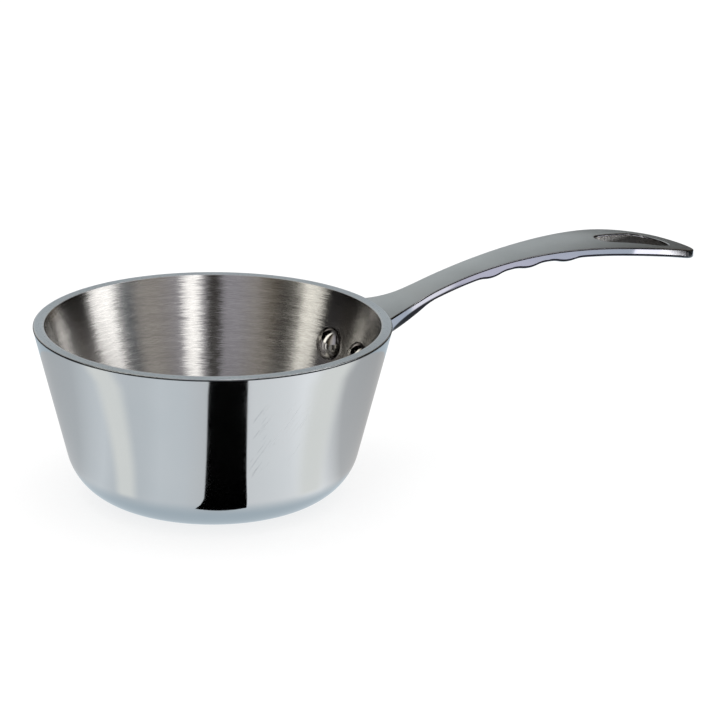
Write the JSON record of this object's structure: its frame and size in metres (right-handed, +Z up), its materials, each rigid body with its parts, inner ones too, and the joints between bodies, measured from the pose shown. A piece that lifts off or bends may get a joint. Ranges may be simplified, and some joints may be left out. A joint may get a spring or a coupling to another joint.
{
  "type": "melting pot",
  "caption": "Small round tri-ply steel melting pot with flared walls and one long riveted handle with finger rests and a hanging hole.",
  "frame": {"origin": "centre of the flat base, on the plane the pot stands on", "axes": "+Z up along the bowl's axis, +X along the handle from the bowl to its tip, +Y to the left of the handle seen from the bowl"},
  "size_m": [0.2568, 0.1197, 0.0673],
  "materials": {
    "polished_steel": "mirror polished with faint polish lines",
    "bonded_aluminium": "ground edge, sealed between the steel plies",
    "brushed_steel": "circumferential brushing",
    "cast_steel": "satin top, polished sides, rough cast inside the hole",
    "rivet_steel": "polished domes"
  },
  "bodies": {
    "root": {"outer_shell": "polished_steel", "aluminium_core": "bonded_aluminium", "inner_liner": "brushed_steel", "handle": "cast_steel", "rivet_left": "rivet_steel", "rivet_right": "rivet_steel"}
  },
  "joints": []
}
